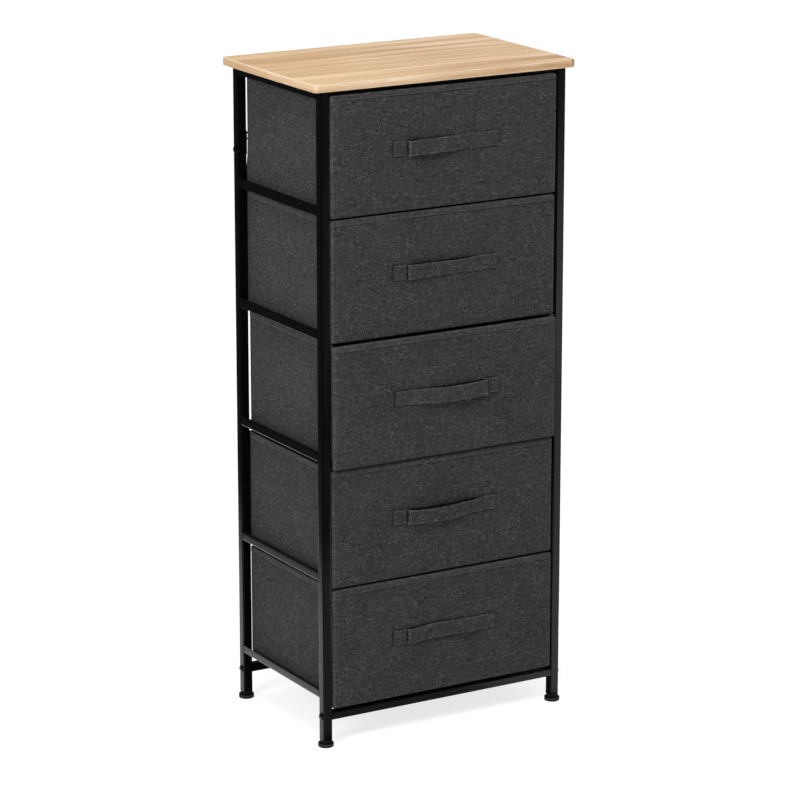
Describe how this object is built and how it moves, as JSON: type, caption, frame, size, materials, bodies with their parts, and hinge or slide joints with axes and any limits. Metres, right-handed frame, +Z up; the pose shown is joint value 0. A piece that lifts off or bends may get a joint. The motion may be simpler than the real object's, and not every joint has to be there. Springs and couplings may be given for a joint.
{
  "type": "fabric drawer dresser",
  "caption": "Tall narrow dresser: slim square-tube steel stand with a wood-look top and levelling feet, holding fabric bins that pull out by a strap.",
  "frame": {"origin": "on the floor, midway in width, midway in depth between the front of the foremost pull strap and the rear edge of the top", "axes": "+Z up, +X to the right as seen from the front, +Y to the rear; the drawers pull out along -Y"},
  "size_m": [0.451, 0.305, 1.0225],
  "materials": {
    "oak_board": "satin laminate, light oak print",
    "black_steel": "satin black powder coat",
    "black_bolts": "black oxide, satin",
    "zinc_steel": "zinc plated",
    "black_plastic": "moulded, matte",
    "charcoal_fabric": "heathered linen-look non-woven",
    "grey_board": "plain"
  },
  "bodies": {
    "frame": {"tabletop": "oak_board", "post_front_left": "black_steel", "post_front_right": "black_steel", "post_rear_left": "black_steel", "post_rear_right": "black_steel", "top_rail_front": "black_steel", "top_rail_rear": "black_steel", "top_rail_left": "black_steel", "top_rail_right": "black_steel", "bottom_rail_front": "black_steel", "bottom_rail_rear": "black_steel", "runner_left_1": "black_steel", "runner_right_1": "black_steel", "runner_left_2": "black_steel", "runner_right_2": "black_steel", "runner_left_3": "black_steel", "runner_right_3": "black_steel", "runner_left_4": "black_steel", "runner_right_4": "black_steel", "runner_left_5": "black_steel", "runner_right_5": "black_steel", "rear_tie_tabs": "black_steel", "rear_tie_rod_lower": "black_steel", "rear_tie_rod_upper": "black_steel", "frame_bolts": "black_bolts", "board_screws": "zinc_steel", "foot_plugs": "black_plastic"},
    "drawer_1": {"drawer_1_bin": "charcoal_fabric", "drawer_1_front_board": "grey_board", "drawer_1_base_board": "grey_board", "drawer_1_strap": "charcoal_fabric"},
    "drawer_2": {"drawer_2_bin": "charcoal_fabric", "drawer_2_front_board": "grey_board", "drawer_2_base_board": "grey_board", "drawer_2_strap": "charcoal_fabric"},
    "drawer_3": {"drawer_3_bin": "charcoal_fabric", "drawer_3_front_board": "grey_board", "drawer_3_base_board": "grey_board", "drawer_3_strap": "charcoal_fabric"},
    "drawer_4": {"drawer_4_bin": "charcoal_fabric", "drawer_4_front_board": "grey_board", "drawer_4_base_board": "grey_board", "drawer_4_strap": "charcoal_fabric"},
    "drawer_5": {"drawer_5_bin": "charcoal_fabric", "drawer_5_front_board": "grey_board", "drawer_5_base_board": "grey_board", "drawer_5_strap": "charcoal_fabric"},
    "foot_front_left": {"foot_pad_front_left": "black_plastic", "foot_stem_front_left": "zinc_steel"},
    "foot_front_right": {"foot_pad_front_right": "black_plastic", "foot_stem_front_right": "zinc_steel"},
    "foot_rear_left": {"foot_pad_rear_left": "black_plastic", "foot_stem_rear_left": "zinc_steel"},
    "foot_rear_right": {"foot_pad_rear_right": "black_plastic", "foot_stem_rear_right": "zinc_steel"}
  },
  "joints": [
    {"name": "drawer_1_slide", "type": "slide", "parent": "frame", "child": "drawer_1", "axis": [0, -1, 0], "range_m": [0, 0.2]},
    {"name": "drawer_2_slide", "type": "slide", "parent": "frame", "child": "drawer_2", "axis": [0, -1, 0], "range_m": [0, 0.2]},
    {"name": "drawer_3_slide", "type": "slide", "parent": "frame", "child": "drawer_3", "axis": [0, -1, 0], "range_m": [-0.006, 0.2]},
    {"name": "drawer_4_slide", "type": "slide", "parent": "frame", "child": "drawer_4", "axis": [0, -1, 0], "range_m": [0, 0.2]},
    {"name": "drawer_5_slide", "type": "slide", "parent": "frame", "child": "drawer_5", "axis": [0, -1, 0], "range_m": [0, 0.2]},
    {"name": "foot_front_left_screw", "type": "slide", "parent": "frame", "child": "foot_front_left", "axis": [0, 0, -1], "range_m": [0, 0.008]},
    {"name": "foot_front_right_screw", "type": "slide", "parent": "frame", "child": "foot_front_right", "axis": [0, 0, -1], "range_m": [0, 0.008]},
    {"name": "foot_rear_left_screw", "type": "slide", "parent": "frame", "child": "foot_rear_left", "axis": [0, 0, -1], "range_m": [0, 0.008]},
    {"name": "foot_rear_right_screw", "type": "slide", "parent": "frame", "child": "foot_rear_right", "axis": [0, 0, -1], "range_m": [0, 0.008]}
  ]
}
